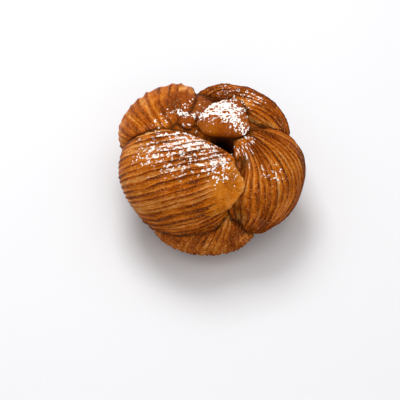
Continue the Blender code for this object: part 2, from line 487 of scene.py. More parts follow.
@dataclass
class Rope:
    """A length of rolled dough between the two places where it dives under others."""

    plan: RopePlan
    crown: Crown
    base: float = 0.0  # height of its flat foot
    sides_per_layer: int = 17
    smooth_sides: int = 150
    inner_sides: int = 24
    rings: int = 190
    end_squareness: float = 3.0
    end_dive: float = 0.12
    layer_width: float = 3.3
    uneven: float = 0.3  # how much layers differ in width and depth
    roundness: float = 2.0  # of a layer's back: more is flatter, with narrower cuts
    wander: float = 0.2  # how far a cut strays, in layers
    wander_size: float = 15.0
    sheets: int = 3  # thin sheets in a layer
    striation: float = 0.1  # depth of the finest lines on a layer's back
    crumble: float = 0.13  # height of the smallest lumps
    crumb_size: float = 1.5
    lump: float = 0.4  # height of the larger lumps
    lump_size: float = 11.0
    kinship: float = 0.45  # how differently one layer strays from the next
    cut_mean: float = 0.8  # a cut's usual depth as a share of the plan's
    cut_swing: float = 0.55  # how much that changes along the cut
    cut_run: float = 14.0  # length over which it changes
    split_noise: Pair = (0.15, 0.55)  # where a layer begins to split and is split
    split_run: float = 16.0  # length of the stretches that split
    split_place: float = 0.55  # of the split across the layer
    split_width: float = 0.07
    split_depth: float = 0.45  # as a share of the plan's depth
    stand_out: float = 0.25  # how much higher or lower than the rest a layer stands, as a share
    tone_swing: float = 0.8  # how much layers differ in tone
    rough_below: Pair = (27.0, 12.0)  # height where the foot's lumps begin, are full
    pebble_size: float = 1.15
    side_turn: Pair = (0.5, 0.85)  # share of the way to the side where relief calms
    crest_range: float = 0.8  # share of the depth over which the crest goes from 1 to 0
    plain_crest: float = 0.75  # crest where the layers have faded out
    crowding: float = 0.35  # how strongly the rings crowd to the poles
    skin_swell: float = 0.7  # height of a smooth skin's lumps
    blotches: float = 0.5  # how much its tone changes from place to place
    most_layers: int = 64  # that a comb can number, from first_layer
    first_layer: float = -10.5

    def path(self, along: np.ndarray) -> np.ndarray:
        """Unit directions of the rope's middle line."""
        ends = [direction(a) for a in (self.plan.start, self.plan.crest, self.plan.end)]
        return unit(through(tuple(ends), along))

    def form(self, around: np.ndarray, along: np.ndarray) -> np.ndarray:
        """The rope without its layers.

        Args:
            around: 0 to pi over the outside and on to 2 pi over the inside.
            along: 0 at one pole to 1 at the other.

        Returns:
            Places in mm.
        """
        plan = self.plan
        path = self.path(along)
        side = unit(np.cross(self.path(along + 1e-3) - path, path))
        bulge = np.maximum(1 - np.abs(2 * along - 1) ** self.end_squareness, 0)
        taper = bulge ** (1 / self.end_squareness)
        width = signed_power(np.cos(around), 2 / plan.squareness)
        depth = signed_power(np.sin(around), 2 / plan.squareness)
        half = np.where(width > 0, through(plan.right, along), through(plan.left, along))
        angle = np.radians(half) * taper * width
        lift = np.where(depth > 0, through(plan.reach, along) - plan.belly, plan.belly - plan.root)
        share = plan.belly + lift * taper * depth - self.end_dive * (1 - taper)
        ways = path * np.cos(angle)[..., None] + side * np.sin(angle)[..., None]
        return self.crown.place(ways, share)

    def layer_edges(self) -> np.ndarray:
        """Work out where one layer ends and the next begins.

        Returns:
            The layers' edges, from 0 to 1 across the rope.
        """
        rng = np.random.default_rng(self.plan.seed)
        widths = rng.uniform(1 - self.uneven, 1 + self.uneven, self.plan.layers)
        return np.concatenate([[0.0], np.cumsum(widths) / widths.sum()])

    def walked_around(self) -> tuple[np.ndarray, np.ndarray]:
        """The outside of the rope's middle section.

        Returns:
            The around angles and how far across the skin each lies, in mm.
        """
        around = np.linspace(0, math.pi, 400)
        section = self.form(around, np.full_like(around, 0.5))
        steps = np.linalg.norm(np.diff(section, axis=0), axis=1)
        return around, np.concatenate([[0.0], np.cumsum(steps)])

    def length(self) -> float:
        """Measure the rope's middle line.

        Returns:
            Its length in mm.
        """
        along = np.linspace(0, 1, 200)
        line = self.form(np.full_like(along, math.pi / 2), along)
        return float(np.linalg.norm(np.diff(line, axis=0), axis=1).sum())

    def placed(
        self, noise: ValueNoise, across: np.ndarray, ways: np.ndarray, run: np.ndarray
    ) -> np.ndarray:
        """Which layer each point lies in.

        Args:
            noise: the rope's noise.
            across: place over the outside, 0 to 1, with all layers of one width.
            ways: unit directions of the points.
            run: place between the poles, in mm.

        Returns:
            The layers' numbers, with the place across the layer as the fraction.
        """
        place = across * self.plan.layers
        if self.plan.comb:
            place = self.plan.comb.place(ways)
            place = place + 0.5 * noise.at(place * self.kinship + 5.5)
        stray = noise.at(run / self.wander_size, place * self.kinship) + 0.35 * noise.at(
            run / self.wander_size * 3.1 + 9, place * 0.8
        )
        return place + self.wander * stray

    def ridges(
        self, noise: ValueNoise, place: np.ndarray, run: np.ndarray, calm: np.ndarray
    ) -> np.ndarray:
        """Depth of the cuts, splits and sheets' lines.

        Args:
            noise: the rope's noise.
            place: which layer each point lies in.
            run: place between the poles, in mm.
            calm: share of the finer relief that is left.

        Returns:
            Height in mm, 0 on a layer's back.
        """
        plan = self.plan
        layer = np.floor(place)
        inside = place - layer
        back = 1 - np.abs(2 * inside**plan.lean - 1) ** self.roundness
        swing = self.cut_swing * noise.at(np.round(place) * 3.7 + 0.5, run / self.cut_run)
        height = -(plan.depth * (self.cut_mean + swing)) * (1 - back)
        # A layer splits in two for a stretch where its own noise is high.
        splitting = noise.at(layer * 5.3 + 40.5, run / self.split_run)
        split = smooth_step(*self.split_noise, splitting) * calm
        middle = self.split_place + 0.14 * noise.at(layer * 2.1 + 77.5, run / 12)
        groove = np.exp(-(((inside - middle) / self.split_width) ** 2))
        height -= self.split_depth * plan.depth * split * groove * back
        # Each layer is a few thin sheets, with a fine line between them.
        sheet = place * self.sheets + 0.5 * noise.at(place * 1.3, run / 7 + 50)
        line = np.abs(2 * (sheet - np.floor(sheet)) - 1) ** 5
        deep = plan.sheet_depth * calm
        return height - deep * line * (0.6 + 0.6 * noise.at(np.round(sheet) * 1.9, run / 6))

    def lumps(
        self, noise: ValueNoise, place: np.ndarray, run: np.ndarray, points: np.ndarray
    ) -> np.ndarray:
        """Height of the fine lines, the crumbs, the lumps and the foot's pebbles.

        Args:
            noise: the rope's noise.
            place: which layer each point lies in.
            run: place between the poles, in mm.
            points: places of the form in mm.

        Returns:
            Height in mm.
        """
        fine = noise.at(place * 6.3, run / 9 + 300) + 0.6 * noise.at(place * 12.1, run / 5 + 700)
        height = self.striation * fine
        height += self.crumble * noise.over(points, self.crumb_size, 2)
        height += self.lump * noise.over(points + 200, self.lump_size)
        low = smooth_step(*self.rough_below, points[..., 2])
        pebbles = 1 - 2 * np.abs(noise.over(points + 400, self.pebble_size, 2))
        return height + self.plan.pebbles * low * pebbles

    def bare(self, noise: ValueNoise, ways: np.ndarray, points: np.ndarray) -> np.ndarray:
        """How much of the smooth stretch of skin each point has.

        Args:
            noise: the rope's noise.
            ways: unit directions of the points.
            points: places of the form in mm.

        Returns:
            0 for cut layers to 1 for smooth skin.
        """
        plan = self.plan
        if not plan.bald:
            return np.zeros(ways.shape[:-1])
        off = np.degrees(np.arccos(np.clip(ways @ direction(plan.bald), -1, 1)))
        off = off + 3 * noise.over(points + 90, 6.0)
        return smooth_step(plan.bald_size * 1.25, plan.bald_size * 0.7, off)

    def cut_layers(
        self, across: np.ndarray, along: np.ndarray, points: np.ndarray
    ) -> tuple[np.ndarray, ...]:
        """The layers' ridges and the cuts between them.

        Args:
            across: place over the outside, 0 to 1, with all layers of one width.
            along: place between the poles.
            points: places of the form in mm.

        Returns:
            Height over the form in mm, crest, tone, how smooth the skin is, and which layer it is.
        """
        plan = self.plan
        noise = ValueNoise(plan.seed)
        rng = np.random.default_rng(plan.seed + 1)
        run = along * self.length()
        ways = self.crown.ways(points)
        place = self.placed(noise, across, ways, run)
        calm = 0.5 + 0.5 * smooth_step(-0.1, 0.6, ways[..., 2])
        height = self.ridges(noise, place, run, calm)
        # Layers stand at their own heights and have their own tones.
        middles = np.arange(self.most_layers) + self.first_layer
        heights = rng.uniform(-self.stand_out, self.stand_out, self.most_layers)
        tones = rng.uniform(-self.tone_swing, self.tone_swing, self.most_layers)
        height += np.interp(place, middles, heights) * plan.depth
        height += self.lumps(noise, place, run, points)
        ends = np.clip(along / plan.fade[0], 0, 1) * np.clip((1 - along) / plan.fade[1], 0, 1)
        edges = np.clip(np.minimum(across, 1 - across) * 18, 0, 1)
        fade = smooth_step(0, 1, ends) * edges
        # The relief is kept about its mean, which is raised so that the skin keeps its size.
        rise = 0.5 * plan.depth * fade
        mean = -0.45 * plan.depth
        bald = self.bare(noise, ways, points)
        fade = fade * (1 - 0.93 * bald)
        beside = smooth_step(*self.side_turn, np.abs(ways[..., 0]))
        flat = (plan.calm + (1 - plan.calm) * (1 - beside)) * fade
        # The crest keeps the full ridges where the relief is calmed, so their shade and highlights
        # are painted in colour.
        crest = np.clip(1 + (height - 0.1) / (plan.depth * self.crest_range), 0, 1)
        crest = np.maximum(crest * fade + (1 - fade) * self.plain_crest, plan.softest)
        tone = np.interp(place, middles, tones) + plan.bald_tone * bald
        height = (height - mean) * flat + mean + rise + 0.12 * bald * noise.over(points, 2.0, 2)
        return height, crest, tone, bald, place

    def surface(self) -> Surface:
        """Lay the rope's whole skin.

        Returns:
            The closed skin, with its layers.
        """
        plan = self.plan
        outer = plan.layers * self.sides_per_layer or self.smooth_sides
        sides = outer + self.inner_sides
        turn = np.arange(sides) / sides
        seam = outer / sides
        outside = turn <= seam
        across = np.where(outside, turn / seam, 1 - (turn - seam) / (1 - seam))
        around = np.where(outside, 0.0, math.pi * (1 + (turn - seam) / (1 - seam)))
        angles, walked = self.walked_around()
        spread = across
        if plan.skin is Skin.LAYERED:
            spread = np.interp(
                across * plan.layers, np.arange(plan.layers + 1), self.layer_edges()
            )
        along = (1 - np.cos(np.linspace(0, math.pi, self.rings + 1))) / 2
        evenly = np.linspace(0, 1, self.rings + 1)
        along = self.crowding * along + (1 - self.crowding) * evenly
        along, around = np.meshgrid(along, around, indexing="ij")
        across = np.broadcast_to(across, along.shape)
        around = np.where(outside, np.interp(spread * walked[-1], walked, angles), around)
        points = self.form(around, along)
        step = 1e-3
        inner = np.clip(along, step, 1 - step)
        over = self.form(around + step, along) - self.form(around - step, along)
        on = self.form(around, inner + step) - self.form(around, inner - step)
        normals = unit(np.cross(over, on))
        noise = ValueNoise(plan.seed + 5)
        if plan.skin is Skin.LAYERED:
            height, crest, tone, smooth, layer = self.cut_layers(across, along, points)
        else:
            height = self.skin_swell * noise.over(points, 8.0, 3)
            crest = np.full(along.shape, 0.85) + 0.15 * noise.over(points, 3.0)
            tone = np.zeros(along.shape)
            smooth = np.ones(along.shape)
            layer = across * 8
        height = np.where(outside[None, :], height, 0.0)
        height[0] = height[-1] = 0.0
        points = self.crown.stand(points + normals * height[..., None], self.base)
        tone = tone + plan.tone + self.blotches * noise.over(points, 9.0, 2)
        weft = np.stack([layer * self.layer_width, along * self.length()], axis=-1)
        return Surface(points, crest, tone, smooth, weft)

    def build(self) -> bpy.types.Object:
        """Make the rope's piece."""
        return self.surface().piece(f"{self.plan.name}_rope")


@dataclass
class Core:
    """The soft dough under the ropes: it shows in the valley, in the pit and at the foot."""

    crown: Crown
    share: float = 0.87
    pit: Angles = (308, 74)
    pit_width: float = 10.0
    pit_depth: float = 0.62
    flutes: int = 110
    flute_depth: float = 0.03
    flute_top: float = 0.35
    sides: int = 480
    rings: int = 200
    seed: int = 5
    lumpiness: float = 0.012  # as a share of the crown's radius
    tone: float = -0.75
    low_tone: float = 0.6  # how much paler the foot is
    girth: float = 340.0  # round the core and over it, in mm
    height: float = 150.0

    def surface(self) -> Surface:
        """Lay the core's skin.

        Returns:
            The closed skin, with flutes low down and the pit sunk into its top.
        """
        turn = np.arange(self.sides) / self.sides
        along, turn = np.meshgrid(np.linspace(0, 1, self.rings + 1), turn, indexing="ij")
        azimuth, rise = turn * 2 * math.pi, 1 - 2 * along
        level = np.sqrt(np.maximum(1 - rise**2, 0))
        ways = np.stack([level * np.cos(azimuth), level * np.sin(azimuth), rise], axis=-1)
        off = np.degrees(np.arccos(np.clip(ways @ direction(self.pit), -1, 1)))
        pit = self.pit_depth * np.exp(-((off / self.pit_width) ** 2))
        noise = ValueNoise(self.seed)
        bend = 3 * noise.at(np.cos(azimuth) * 2 + 9, np.sin(azimuth) * 2 + 9, rise * 2 + 9)
        phase = turn * self.flutes + bend
        ridge = np.abs(np.sin(math.pi * phase))
        low = np.clip((self.flute_top - rise) / self.flute_top, 0, 1)
        share = self.share + self.flute_depth * low * (ridge - 0.7) - pit
        points = self.crown.place(ways, share)
        lumps = noise.over(points, 8.0, 3)
        share = share + self.lumpiness * lumps * (1 - pit / self.pit_depth)
        points = self.crown.stand(self.crown.place(ways, share), 0.0)
        # Lower crest in the flutes' grooves, where the crust paints shade.
        crest = np.clip(0.55 - 0.55 * low * (1 - ridge), 0, 1)
        tone = self.tone + self.low_tone * low + 0.4 * lumps
        weft = np.stack([turn * self.girth, along * self.height], axis=-1)
        return Surface(points, crest, tone, 0.8 * (1 - low), weft)

    def build(self) -> bpy.types.Object:
        """Make the core's piece."""
        return self.surface().piece("core")


def read_points(mesh: bpy.types.Mesh) -> tuple[np.ndarray, np.ndarray]:
    """Read a mesh's points.

    Args:
        mesh: the mesh.

    Returns:
        The points in metres and their normals.
    """
    points = np.empty(len(mesh.vertices) * 3)
    normals = np.empty(len(mesh.vertices) * 3)
    mesh.vertices.foreach_get("co", points)
    mesh.vertex_normals.foreach_get("vector", normals)
    return points.reshape(-1, 3), normals.reshape(-1, 3)


def linked(mesh: bpy.types.Mesh) -> bpy.types.Object:
    """Put a mesh in the scene.

    Args:
        mesh: the mesh.

    Returns:
        Its object, with the mesh's name.
    """
    piece = bpy.data.objects.new(mesh.name, mesh)
    bpy.context.scene.collection.objects.link(piece)
    return piece


def add_input(tree: bpy.types.NodeTree, name: str, kind: str, value: object = None) -> None:
    """Give a node group a named input.

    Args:
        tree: the group.
        name: the socket's name.
        kind: the socket's type, such as Float.
        value: its default, where it has one.
    """
    socket = tree.interface.new_socket(name, in_out="INPUT", socket_type=f"NodeSocket{kind}")
    if value is not None:
        socket.default_value = value


def add_output(tree: bpy.types.NodeTree, name: str, kind: str) -> None:
    """Give a node group a named output.

    Args:
        tree: the group.
        name: the socket's name.
        kind: the socket's type.
    """
    tree.interface.new_socket(name, in_out="OUTPUT", socket_type=f"NodeSocket{kind}")


class Wiring:
    """Adds nodes to a tree and joins them."""

    def __init__(self, tree: bpy.types.NodeTree) -> None:
        """Keep the tree.

        Args:
            tree: the node tree to add to.
        """
        self.tree = tree

    def add(self, kind: str, inputs: dict | None = None, **settings: object) -> bpy.types.Node:
        """Add a node.

        Args:
            kind: the node's type.
            inputs: a value or another node's output for each named or numbered input.
            **settings: the node's own settings.

        Returns:
            The node.
        """
        node = self.tree.nodes.new(kind)
        for key, value in settings.items():
            setattr(node, key, value)
        for key, value in (inputs or {}).items():
            if isinstance(value, bpy.types.NodeSocket):
                self.tree.links.new(value, node.inputs[key])
            else:
                node.inputs[key].default_value = value
        return node

    def maths(self, operation: str, *values: object, clamp: bool = False) -> bpy.types.NodeSocket:
        """Add a Math node.

        Args:
            operation: what it does.
            *values: a number or another node's output for each of its inputs.
            clamp: whether the result is held between 0 and 1.

        Returns:
            Its result.
        """
        inputs = dict(enumerate(values))
        node = self.add("ShaderNodeMath", inputs, operation=operation, use_clamp=clamp)
        return node.outputs[0]

    def blend(self, factor: object, first: object, second: object) -> bpy.types.NodeSocket:
        """Add a colour Mix node.

        Args:
            factor: 0 for the first colour to 1 for the second.
            first: a colour or another node's output.
            second: the same.

        Returns:
            Its result.
        """
        node = self.add("ShaderNodeMix", {0: factor, 6: first, 7: second}, data_type="RGBA")
        return node.outputs[2]

    def span(self, value: object, low: float, high: float) -> bpy.types.NodeSocket:
        """Map a range smoothly to 0 to 1 and hold it there.

        Args:
            value: another node's output.
            low: the value that gives 0.
            high: the value that gives 1.

        Returns:
            The mapped value.
        """
        node = self.add(
            "ShaderNodeMapRange",
            {"Value": value, "From Min": low, "From Max": high},
            interpolation_type="SMOOTHSTEP",
        )
        return node.outputs["Result"]

    def noise(self, vector: object, scale: float, detail: float = 2.0) -> bpy.types.NodeSocket:
        """Add a Noise Texture.

        Args:
            vector: where it is read.
            scale: its scale.
            detail: how many finer noises it adds.

        Returns:
            Its value.
        """
        inputs = {"Vector": vector, "Scale": scale, "Detail": detail}
        return self.add("ShaderNodeTexNoise", inputs).outputs["Fac"]


class LayersWithPaintedLight:
    """Shader group: colour and gloss of laminated dough, from cut to crest, with shade painted into
    the cuts and highlight onto the crests.
    """

    STEPS = (
        ("Deep", 0.05, 0.35),
        ("Flank", 0.3, 0.65),
        ("Back", 0.6, 0.95),
        ("Pale", 0.88, 1.2),
    )
    FLECKS = (("Deep", 0.54, 0.64, 0.55), ("Pale", 0.45, 0.34, 0.5))
    STREAK_SHARE = 0.42
    TONE_SHARE = 0.24

    @staticmethod
    def build() -> bpy.types.NodeTree:
        """Make the group.

        Returns:
            The group, with Colour and Roughness out.
        """
        tree = bpy.data.node_groups.new("layers_with_painted_light", "ShaderNodeTree")
        for name in ("Crest", "Tone", "Smooth", "Streak", "Fleck"):
            add_input(tree, name, "Float", 0.5)
        for name in ("Cut", "Deep", "Flank", "Back", "Pale", "Skin"):
            add_input(tree, name, "Color")
        add_output(tree, "Colour", "Color")
        add_output(tree, "Roughness", "Float")
        wiring = Wiring(tree)
        given = wiring.add("NodeGroupInput").outputs
        streaked = wiring.maths("SUBTRACT", given["Streak"], 0.5)
        crest = wiring.maths("MULTIPLY_ADD", streaked, LayersWithPaintedLight.STREAK_SHARE, given["Crest"])
        crest = wiring.maths("MULTIPLY_ADD", given["Tone"], LayersWithPaintedLight.TONE_SHARE, crest)
        colour = given["Cut"]
        # Baked colours from painted shade in the cuts up to painted highlight on the crests.
        for name, low, high in LayersWithPaintedLight.STEPS:
            colour = wiring.blend(wiring.span(crest, low, high), colour, given[name])
        for name, low, high, share in LayersWithPaintedLight.FLECKS:
            fleck = wiring.maths("MULTIPLY", wiring.span(given["Fleck"], low, high), share)
            colour = wiring.blend(fleck, colour, given[name])
        skin_by = wiring.maths("MULTIPLY", given["Smooth"], wiring.span(crest, 0.2, 0.7))
        browned = wiring.blend(wiring.span(given["Tone"], -1.2, 0.5), given["Deep"], given["Skin"])
        skin = wiring.blend(wiring.maths("MULTIPLY", skin_by, 0.9), colour, browned)
        rough = wiring.maths("MULTIPLY_ADD", given["Streak"], -0.25, 0.6)
        wiring.add("NodeGroupOutput", {"Colour": skin, "Roughness": rough})
        return tree


class SugarFilm:
    """Shader group: a thin film of fine sugar where it has settled."""

    PATCH_SCALE, PATCH_SHARE = 0.9, 4.0
    SPECK_SCALE, SPECK_SHARE = 2.8, 2.0
    CREST_SHARE = 0.6
    EDGE = (2.05, 2.1)  # of the summed noises, between bare crust and sugar

    @staticmethod
    def build() -> bpy.types.NodeTree:
        """Make the group.

        Returns:
            The group, with Cover out.
        """
        tree = bpy.data.node_groups.new("sugar_film", "ShaderNodeTree")
        add_input(tree, "Settled", "Float", 0.0)
        add_input(tree, "Crest", "Float", 0.5)
        add_input(tree, "Place", "Vector")
        add_output(tree, "Cover", "Float")
        wiring = Wiring(tree)
        given = wiring.add("NodeGroupInput").outputs
        patches = wiring.noise(given["Place"], SugarFilm.PATCH_SCALE, 3.0)
        specks = wiring.noise(given["Place"], SugarFilm.SPECK_SCALE, 2.0)
        patches = wiring.maths("SUBTRACT", patches, 0.5)
        specks = wiring.maths("SUBTRACT", specks, 0.5)
        uneven = wiring.maths("MULTIPLY", patches, SugarFilm.PATCH_SHARE)
        uneven = wiring.maths("MULTIPLY_ADD", specks, SugarFilm.SPECK_SHARE, uneven)
        uneven = wiring.maths("MULTIPLY_ADD", given["Crest"], SugarFilm.CREST_SHARE, uneven)
        line = wiring.maths("ADD", given["Settled"], uneven)
        cover = wiring.span(line, *SugarFilm.EDGE)
        shown = wiring.maths("MULTIPLY", cover, wiring.span(given["Settled"], 0.05, 0.2))
        wiring.add("NodeGroupOutput", {"Cover": shown})
        return tree


@dataclass(frozen=True)
class CrustFinish:
    """Browned, lightly glazed crust with fine lines along its layers, with shade painted into its
    cuts, gaps and pit and highlight painted onto its crests.
    """

    name: str = "browned_crust"
    # The cut-to-pale colours are baked browning with painted shade in the cuts and painted
    # highlight on the crests.
    cut: Colour = srgb(84, 34, 2)
    deep: Colour = srgb(140, 61, 0)
    flank: Colour = srgb(198, 98, 2)
    back: Colour = srgb(222, 129, 20)
    pale: Colour = srgb(238, 172, 98)
    skin: Colour = srgb(216, 126, 14)
    # Painted shade in the gaps, the pit and the creases.
    painted_shade: Colour = srgb(30, 10, 3)
    sugar: Colour = srgb(255, 253, 249)
    specular: float = 0.06
    coat_roughness: float = 0.24
    glaze: float = 0.16
    broad_lines: Triple = (1.1, 0.13, 1.0)  # scales across and along the layers
    thin_lines: Triple = (3.2, 0.5, 1.0)
    film_grid: Triple = (1.0, 0.55, 1.0)
    fleck_scale: float = 1100.0
    blotch_scale: float = 90.0
    blotch_share: float = 0.42
    grain_scale: float = 1400.0
    bump_depth: float = 0.0007  # in metres

    def material(self, layers: bpy.types.NodeTree, film: bpy.types.NodeTree) -> bpy.types.Material:
        """Make the material.

        Args:
            layers: the group of layer colours with painted light.
            film: the sugar film's group.

        Returns:
            The material.
        """
        made = bpy.data.materials.new(self.name)
        made.use_nodes = True
        wiring = Wiring(made.node_tree)
        shader = made.node_tree.nodes["Principled BSDF"]
        crest, tone, smooth, settled, painted_shade = (
            wiring.add("ShaderNodeAttribute", attribute_name=key).outputs["Fac"]
            for key in ("crest", "tone", "smooth", "sugar", "painted_shade")
        )
        weft = wiring.add("ShaderNodeUVMap", uv_map=UV_NAME).outputs["UV"]
        broad, thin, grid = (
            wiring.add("ShaderNodeMapping", {"Vector": weft, "Scale": scale}).outputs[0]
            for scale in (self.broad_lines, self.thin_lines, self.film_grid)
        )
        broad, thin = wiring.noise(broad, 1.0, 3.0), wiring.noise(thin, 1.0, 3.0)
        mixed = wiring.maths("MULTIPLY_ADD", broad, 0.55, wiring.maths("MULTIPLY", thin, 0.45))
        place = wiring.add("ShaderNodeTexCoord").outputs["Object"]
        base = wiring.add(
            "ShaderNodeGroup",
            {
                "Crest": crest, "Tone": tone, "Smooth": smooth,
                "Streak": wiring.span(mixed, 0.34, 0.66),
                "Fleck": wiring.noise(place, self.fleck_scale, 4.0),
                "Cut": self.cut, "Deep": self.deep, "Flank": self.flank, "Back": self.back,
                "Pale": self.pale, "Skin": self.skin,
            },
            node_tree=layers,
        ).outputs
        dust = wiring.add(
            "ShaderNodeGroup",
            {"Settled": settled, "Crest": crest, "Place": grid},
            node_tree=film,
        ).outputs
        blotch = wiring.noise(place, self.blotch_scale, 4.0)
        dull = wiring.maths("SUBTRACT", 1.0, wiring.span(blotch, 0.3, 0.7))
        dull = wiring.maths("MULTIPLY", dull, self.blotch_share)
        darker = wiring.blend(dull, base["Colour"], self.deep)
        # Painted shade laid over the crust, with sugar and glaze kept out of it.
        shade_painted = wiring.blend(painted_shade, darker, self.painted_shade)
        unshaded = wiring.maths("SUBTRACT", 1.0, painted_shade, clamp=True)
        cover = wiring.maths("MULTIPLY", dust["Cover"], unshaded)
        colour = wiring.blend(cover, shade_painted, self.sugar)
        rough = wiring.maths("MULTIPLY_ADD", cover, 0.4, base["Roughness"])
        gloss = wiring.maths("MULTIPLY", wiring.span(blotch, 0.52, 0.66), self.glaze)
        bare = wiring.maths("SUBTRACT", 1.0, cover, clamp=True)
        coat = wiring.maths("MULTIPLY", wiring.maths("MULTIPLY", gloss, bare), unshaded)
        grain = wiring.noise(place, self.grain_scale, 3.0)
        relief = wiring.maths("MULTIPLY_ADD", grain, 1.5, wiring.maths("MULTIPLY", thin, 0.9))
        bump = wiring.add(
            "ShaderNodeBump", {"Height": relief, "Strength": 1.0, "Distance": self.bump_depth}
        )
        for key, value in {
            "Base Color": colour, "Roughness": rough, "Coat Weight": coat,
            "Normal": bump.outputs["Normal"],
        }.items():
            made.node_tree.links.new(value, shader.inputs[key])
        shader.inputs["Specular IOR Level"].default_value = self.specular
        shader.inputs["Coat Roughness"].default_value = self.coat_roughness
        return made


@dataclass(frozen=True)
class SugarFinish:
    """Loose white sugar."""

    name: str = "white_sugar"
    bright: Colour = srgb(255, 254, 252)
    warm: Colour = srgb(246, 238, 226)
    roughness: float = 0.7
    patch_scale: float = 700.0

    def material(self) -> bpy.types.Material:
        """Make the material.

        Returns:
            The material.
        """
        made = bpy.data.materials.new(self.name)
        made.use_nodes = True
        wiring = Wiring(made.node_tree)
        shader = made.node_tree.nodes["Principled BSDF"]
        place = wiring.add("ShaderNodeTexCoord").outputs["Object"]
        patch = wiring.span(wiring.noise(place, self.patch_scale, 2.0), 0.35, 0.65)
        colour = wiring.blend(patch, self.warm, self.bright)
        made.node_tree.links.new(colour, shader.inputs["Base Color"])
        shader.inputs["Roughness"].default_value = self.roughness
        return made


@dataclass
class Gaps:
    """The gaps where the ropes meet and where the knot is deep, with shade painted into them."""

    crown: Crown
    reach: float = 3.0  # how far from another rope a skin begins to turn in, in mm
    width: float = 0.6  # how near it has to be to turn in most of the way
    pinch: float = 0.6  # how far it turns in
    dark: float = 0.75  # how dark the painted shade is there, up to 1
    deep_share: Pair = (0.84, 0.6)  # share of the crown's radius where painted shade begins and where it is black
    creases: tuple[Angles, ...] = ((289, 24), (289, 16), (289, 9))  # where the front ropes part
    crease_size: float = 6.0  # radius of each in degrees over the crown
    crease_depth: float = 0.5  # in mm
    # how dark the shade painted into the creases is
    crease_shade: float = 0.45

    def close(self, pieces: list[bpy.types.Object], trees: list[BVHTree]) -> None:
        """Turn the skins in where they meet and write how much shade is painted at each point.

        Args:
            pieces: the skins.
            trees: their search trees, in the same order.
        """
        for index, piece in enumerate(pieces):
            mesh = piece.data
            points, normals = read_points(mesh)
            others = [tree for other, tree in enumerate(trees) if other != index]
            near = np.full(len(points), self.reach)
            for vert, point in enumerate(points.tolist()):
                for tree in others:
                    found = tree.find_nearest(point, self.reach * MM)[3]
                    if found is not None and found / MM < near[vert]:
                        near[vert] = found / MM
            close = np.exp(-((near / self.width) ** 2))
            close[near >= self.reach] = 0.0
            share = np.linalg.norm(self.crown.scaled(points / MM), axis=-1)
            # Shade painted where a skin lies deep under the crown, as in the pit.
            deep = smooth_step(*[-s for s in self.deep_share], -share)
            deep = deep * self.crown.above(points / MM)
            ways = self.crown.ways(points / MM)
            near_crease = np.max([ways @ direction(a) for a in self.creases], axis=0)
            off = np.degrees(np.arccos(np.clip(near_crease, -1, 1)))
            crease = smooth_step(self.crease_size, 0.3 * self.crease_size, off)
            sunk = self.pinch * close + self.crease_depth * crease
            moved = points - normals * (sunk * MM)[:, None]
            moved[:, 2] = np.maximum(moved[:, 2], points[:, 2].min())
            mesh.vertices.foreach_set("co", moved.ravel())
            # Painted shade near other ropes, deep in the knot and in the creases.
            painted_shade = np.max([self.dark * close, deep, self.crease_shade * crease], axis=0)
            write_values(mesh, "painted_shade", painted_shade)
            mesh.update()


